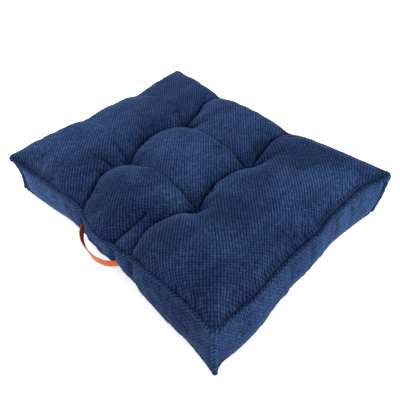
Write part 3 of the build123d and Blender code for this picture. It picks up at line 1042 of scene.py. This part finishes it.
def lowest_near(points, step, way):
    """A coarser grid whose heights are the innermost ones of the surface round each point."""
    heights = way * points[..., 2]
    for axis in (0, 1):
        padded = np.pad(heights, [(step, step) if k == axis else (0, 0) for k in (0, 1)], mode="edge")
        span = heights.shape[axis]
        heights = np.max([np.take(padded, np.arange(k, k + span), axis) for k in range(2 * step + 1)], axis=0)
    coarse = points[::step, ::step].copy()
    coarse[..., 2] = way * heights[::step, ::step]
    return coarse


def filling():
    """The fibre slab inside the cover, a little smaller all round."""
    upper = lowest_near(top_points, FILLING_STEP, -1) - (0, 0, 6 * MM)
    lower = lowest_near(bottom_points, FILLING_STEP, 1) + (0, 0, 4 * MM)
    n, m = upper.shape[:2]
    index = np.arange(n * m).reshape(n, m)
    rim = np.concatenate([index[:-1, 0], index[-1, :-1], index[:0:-1, -1], index[0, :0:-1]])
    points = np.concatenate([upper.reshape(-1, 3), lower.reshape(-1, 3)])
    points[:, :2] *= FILLING_SHARE
    quads = grid_quads(index)
    band = np.stack([rim, rim + n * m, np.roll(rim, -1) + n * m, np.roll(rim, -1)], -1)
    faces = np.concatenate([quads, quads[:, ::-1] + n * m, band])
    piece = mesh_piece("fibre_slab", points.tolist(), faces.tolist())
    finish_piece(piece, fibre_fill())
    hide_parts("fibre_filling")


filling()


def tuft(corner, material):
    """The twine through one tuft: a crossed stitch in the seat, the run down, and the knot below."""
    x, y, top = tuft_seats("top")[corner]
    bottom = tuft_seats("bottom")[corner][2]
    w = np.linspace(0, 1, 12)
    t = 2 * w - 1
    rows = []
    for way in (math.radians(40), math.radians(130)):
        rise = top + STITCH_RISE * (1 - t**2)
        rows.append((x + STITCH_HALF * t * math.cos(way), y + STITCH_HALF * t * math.sin(way), rise))
    for k in (-1, 1):
        off = STRAND_OFFSET * k
        rows.append((x + off * np.cos(w * 9), y + off * np.sin(w * 9), top * (1 - w) + bottom * w))
        turn = w * TAU + k
        dip = bottom - 1.5 * MM + 1.2 * MM * k * np.sin(w * TAU * 1.5)
        rows.append((x + KNOT_RADIUS * np.cos(turn), y + KNOT_RADIUS * np.sin(turn), dip))
    lines = np.array([np.column_stack(row) for row in rows])
    piece = tubes(f"tuft_stitch_{corner}", lines, TWINE_RADIUS, sides=8)
    finish_piece(piece, material)
    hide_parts(f"tuft_twine_{corner}")


twine = spun_thread("tuft_twine", (0.012, 0.026, 0.085))
for corner in CORNERS:
    tuft(corner, twine)

# --- Carrying strap ---

# The strap's middle line: its share of the way from the left end to the right one, and how far it
# stands out from the ends and hangs below them, in mm
STRAP_RUN = [
    (0.00, -12, -1), (-0.03, 1, -1), (0.015, 13, 2.5), (0.11, 23, 7), (0.235, 30, 11), (0.42, 34, 13),
    (0.62, 35, 13), (0.83, 29, 9), (0.95, 20, 6), (1.03, 8, 4), (1.06, -10, 3),
]
STRAP_WIDTH = 19 * MM
STRAP_THICKNESS = 2.4 * MM
STRAP_LEAN = 0.17  # twice this is how far its left stretch leans; its right one stands upright
STRAP_TURN = 0.42  # the share of its length where it turns over


def strap_line():
    """Points along the strap's middle line."""
    left, right = middle("strap_end_left"), middle("strap_end_right")
    left[1] = right[1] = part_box("boxing_front")[1][1]
    rows = [left * (1 - share) + right * share - np.array([0, out, down]) * MM
            for share, out, down in STRAP_RUN]
    return np.array(rows)


def strap():
    """The leather band between its two sewn ends, with eased edges."""
    rows = strap_line()
    run = run_along(rows)
    at = np.linspace(0, run[-1], 160)
    line = through(np.column_stack([run, rows]), at)
    ahead = unit(np.gradient(line, axis=0))
    share = np.linspace(0, 1, len(at))[:, None]
    turned = STRAP_LEAN * (np.tanh((share - STRAP_TURN) / 0.10) - 1)
    lean = np.concatenate([0 * share, turned, 0.95 + 0 * share], 1)
    across = unit(lean - np.sum(ahead * lean, 1, keepdims=True) * ahead)
    face = np.cross(ahead, across)
    turn = np.linspace(0, TAU, 40, endpoint=False)
    wide = np.sign(np.cos(turn)) * np.abs(np.cos(turn)) ** 0.22 * STRAP_WIDTH / 2
    thick = np.sign(np.sin(turn)) * np.abs(np.sin(turn)) ** 0.6 * STRAP_THICKNESS / 2
    grid = line[:, None] + across[:, None] * wide[None, :, None] + face[:, None] * thick[None, :, None]
    uv = np.stack(np.meshgrid(at, turn / TAU * 0.045, indexing="ij"), -1)
    piece = make_piece("leather_strap", grid, uv, close=True, flip=True)
    piece.data.materials.append(leather())
    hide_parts("handle_strap", "strap_end_left", "strap_end_right")
    line = frame["joints"][0]["pos_m"][1]
    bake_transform(piece)


strap()
for side in ("left", "right"):
    node = frame["nodes"][f"strap_tack_{side}"]
    node.data.materials.clear()
    node.data.materials.append(spun_thread(f"tack_{side}", (0.45, 0.18, 0.08)))

# --- Stage ---

CAMERA_ANGLES = (47.6, 44.25, -2.8)  # azimuth, elevation and roll, in degrees
CAMERA_TARGET = (0.0505, -0.018, 0.06)
CAMERA_DISTANCE = 1.031
CAMERA_LENS = 39.15  # mm, over a 36 mm sensor
FLOOR_SIZE = 6.0
FLOOR_GLOW = 0.55
WORLD_STRENGTH = 0.7


def floor():
    """A plain pale floor."""
    size = FLOOR_SIZE
    corners = np.array([[(-size, -size, 0), (-size, size, 0)], [(size, -size, 0), (size, size, 0)]], float)
    piece = make_piece("floor", corners)
    m = Nodes("pale_floor")
    m.shader.inputs["Base Color"].default_value = (0.93, 0.93, 0.93, 1)
    m.shader.inputs["Roughness"].default_value = 0.9
    m.shader.inputs["Specular IOR Level"].default_value = 0.0
    m.shader.inputs["Emission Color"].default_value = (1, 1, 1, 1)
    m.shader.inputs["Emission Strength"].default_value = FLOOR_GLOW
    piece.data.materials.append(m.material)


def softbox(name, place, size, power):
    """A square area light that points at the cushion."""
    data = bpy.data.lights.new(name, "AREA")
    data.shape = "SQUARE"
    data.size = size
    data.energy = power
    lamp = link_object(name, data)
    lamp.location = place
    lamp.rotation_mode = "QUATERNION"
    lamp.rotation_quaternion = (Vector(place) - Vector(middle("fibre_filling"))).to_track_quat("Z", "Y")
    lamp.visible_camera = False


def camera():
    """The camera, above the front right corner."""
    azimuth, elevation, roll = (math.radians(angle) for angle in CAMERA_ANGLES)
    data = bpy.data.cameras.new("camera")
    data.sensor_width = 36.0
    data.lens = CAMERA_LENS
    data.clip_start = 0.01
    shot = link_object("camera", data)
    facing = Matrix.Rotation(azimuth, 4, "Z") @ Matrix.Rotation(math.pi / 2 - elevation, 4, "X")
    facing = facing @ Matrix.Rotation(roll, 4, "Z")
    back = Matrix.Translation((0, 0, CAMERA_DISTANCE))
    shot.matrix_world = Matrix.Translation(CAMERA_TARGET) @ facing @ back
    bpy.context.scene.camera = shot


floor()
camera()
world = bpy.data.worlds.new("studio")
world.use_nodes = True
sky = world.node_tree.nodes["Background"]
sky.inputs["Color"].default_value = (1.0, 1.0, 1.0, 1)
sky.inputs["Strength"].default_value = WORLD_STRENGTH
bpy.context.scene.world = world
bpy.context.scene.view_settings.view_transform = "Standard"
softbox("key", (-1.1, 0.3, 1.1), 1.0, 12)
softbox("right", (1.5, 0.8, 0.6), 0.9, 18)
softbox("left", (-1.0, -0.9, 0.5), 0.7, 6)
